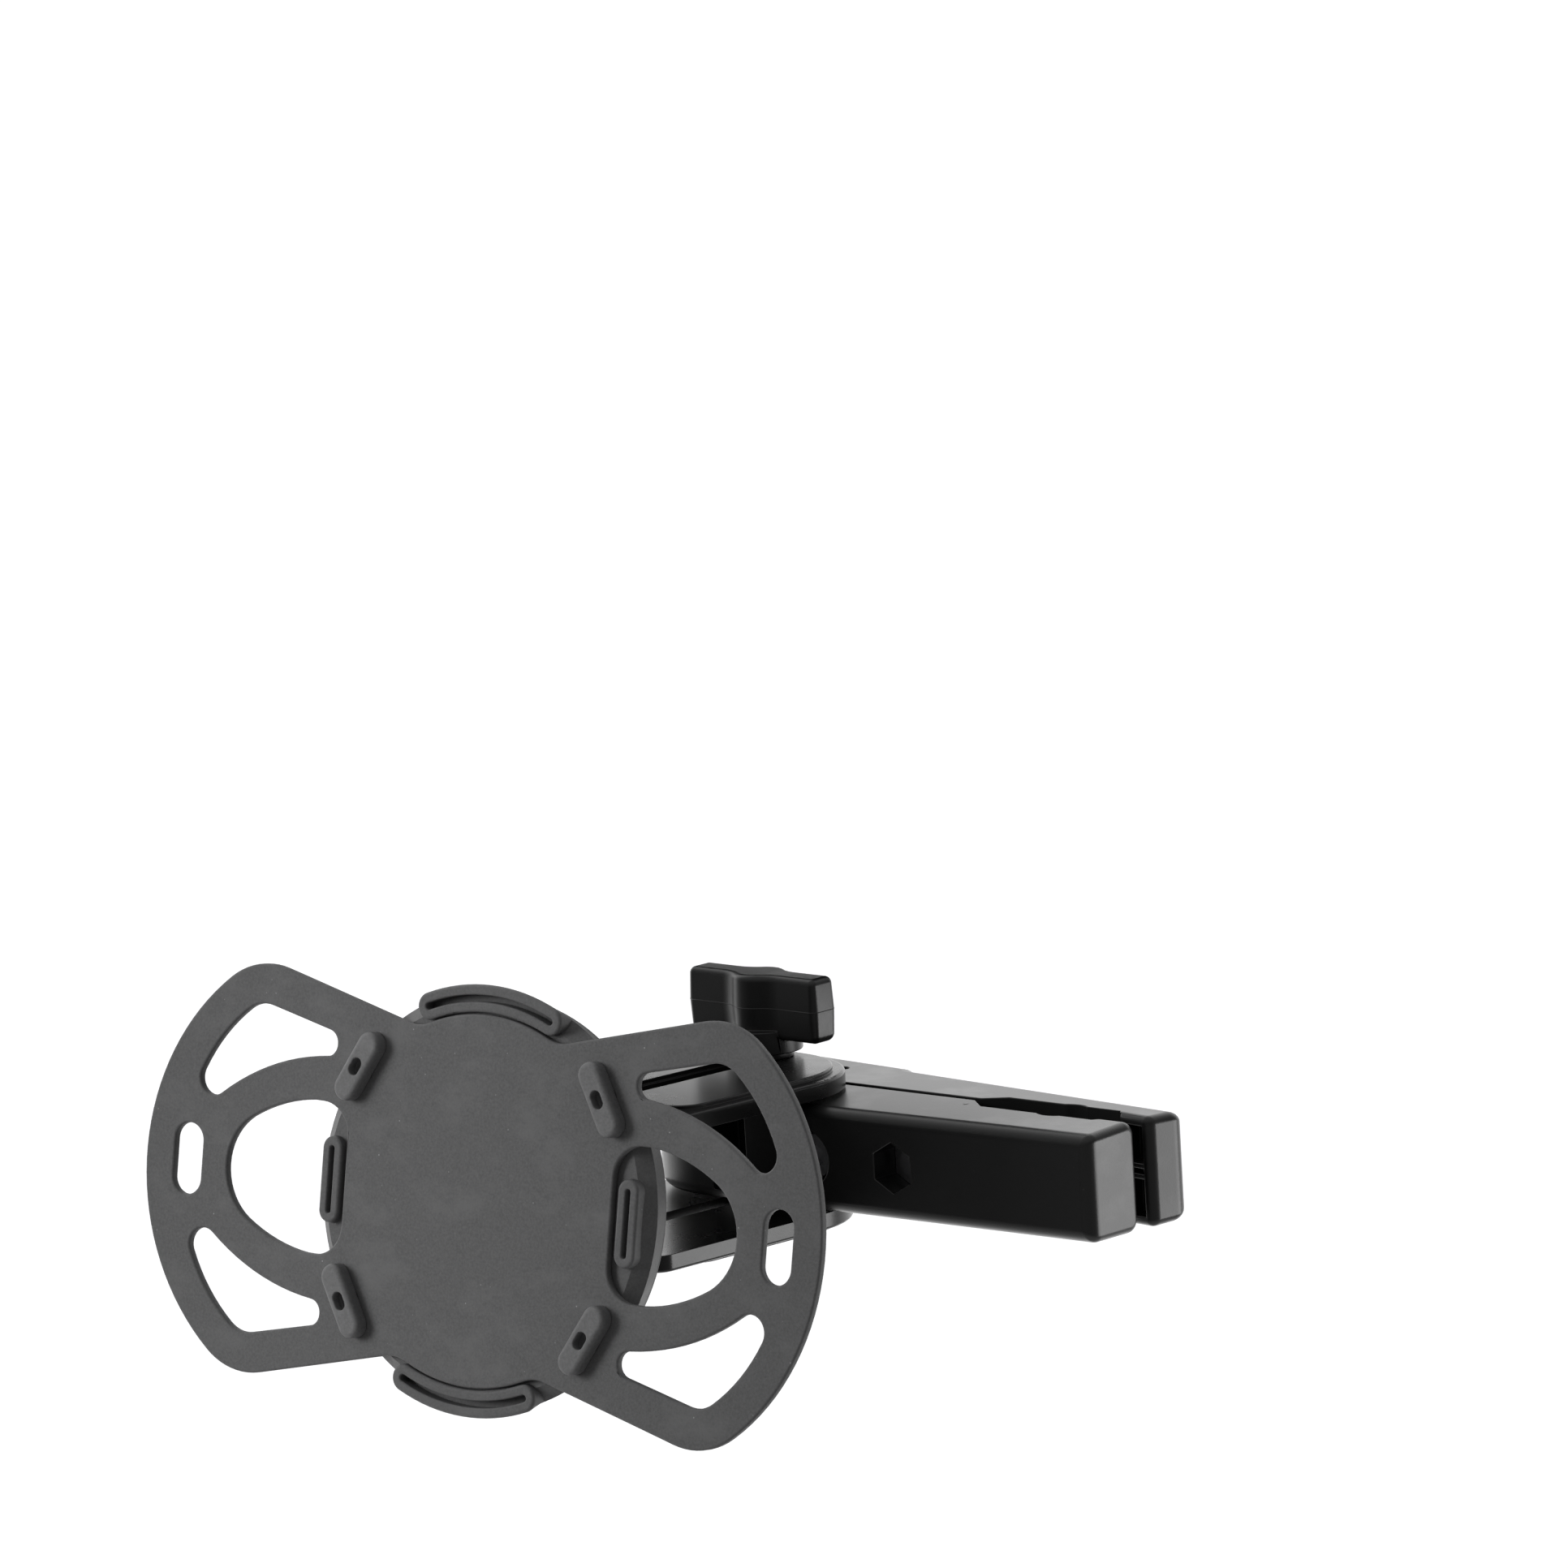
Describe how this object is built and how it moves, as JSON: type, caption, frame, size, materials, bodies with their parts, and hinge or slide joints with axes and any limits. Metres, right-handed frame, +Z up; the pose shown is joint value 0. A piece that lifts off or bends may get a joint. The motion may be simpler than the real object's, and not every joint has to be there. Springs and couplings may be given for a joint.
{
  "type": "headrest tablet mount",
  "caption": "Clamp bar for a headrest rod with a slotted sliding arm, wing knob and a tilting round holder that carries a perforated rubber sheet with two wings.",
  "frame": {"origin": "axis of the gripped rod at mid-height of the clamp bar", "axes": "+Z up along the rod, +X along the split plane toward the bar's open end, -Y toward the holder"},
  "size_m": [0.2038, 0.1411, 0.0972],
  "materials": {
    "bar_plastic": "satin black, fine texture",
    "arm_plastic": "satin black",
    "knob_plastic": "satin black, fine texture",
    "washer_plastic": "smooth black",
    "joint_plastic": "satin black",
    "disc_plastic": "satin dark grey",
    "sheet_rubber": "matte dark grey",
    "button_rubber": "matte dark grey",
    "zinc_steel": "zinc-plated",
    "insert_brass": "plain"
  },
  "bodies": {
    "bar": {"front_jaw": "bar_plastic", "clamp_nut": "zinc_steel", "jaw_screw": "zinc_steel", "upper_friction_washer": "washer_plastic", "lower_friction_washer": "washer_plastic"},
    "rear_clamp": {"rear_jaw": "bar_plastic", "jaw_nut": "zinc_steel", "clamp_screw": "zinc_steel"},
    "pivot": {"pivot_bolt": "zinc_steel", "bolt_washer": "zinc_steel"},
    "knob": {"pivot_knob": "knob_plastic", "knob_insert": "insert_brass", "knob_washer": "washer_plastic"},
    "arm": {"upper_arm_plate": "arm_plastic", "lower_arm_plate": "arm_plastic", "block_screw_left": "zinc_steel", "block_screw_right": "zinc_steel"},
    "swivel": {"swivel_yoke": "joint_plastic", "swivel_pin": "zinc_steel"},
    "tilt_head": {"tilt_bracket": "joint_plastic", "tilt_pin": "zinc_steel", "turn_washer": "zinc_steel", "turn_screw": "zinc_steel"},
    "holder": {"holder_disc": "disc_plastic", "rubber_sheet": "sheet_rubber", "button_upper_left": "button_rubber", "button_upper_right": "button_rubber", "button_lower_left": "button_rubber", "button_lower_right": "button_rubber"}
  },
  "joints": [
    {"name": "jaw_slide", "type": "slide", "parent": "bar", "child": "rear_clamp", "axis": [0, 1, 0], "range_m": [-0.0015, 0.004]},
    {"name": "arm_swing", "type": "hinge", "parent": "bar", "child": "pivot", "pos_m": [-0.084, -0.005, 0], "axis": [0, 0, -1], "range_deg": [-30, 78]},
    {"name": "knob_turn", "type": "hinge", "parent": "pivot", "child": "knob", "pos_m": [-0.084, -0.005, 0], "axis": [0, 0, 1], "continuous": true},
    {"name": "arm_slide", "type": "slide", "parent": "pivot", "child": "arm", "axis": [0.1063, 0.9943, 0], "range_m": [0, 0.02]},
    {"name": "holder_swivel", "type": "hinge", "parent": "arm", "child": "swivel", "pos_m": [-0.09075, -0.06814, 0], "axis": [0, 0, 1], "range_deg": [-37, 12]},
    {"name": "holder_tilt", "type": "hinge", "parent": "swivel", "child": "tilt_head", "pos_m": [-0.08935, -0.08006, 0], "axis": [-0.9932, -0.1167, 0], "range_deg": [-34, 15]},
    {"name": "holder_turn", "type": "hinge", "parent": "tilt_head", "child": "holder", "pos_m": [-0.08705, -0.09963, 0.0034], "axis": [0.115, -0.9787, 0.1702], "continuous": true}
  ]
}
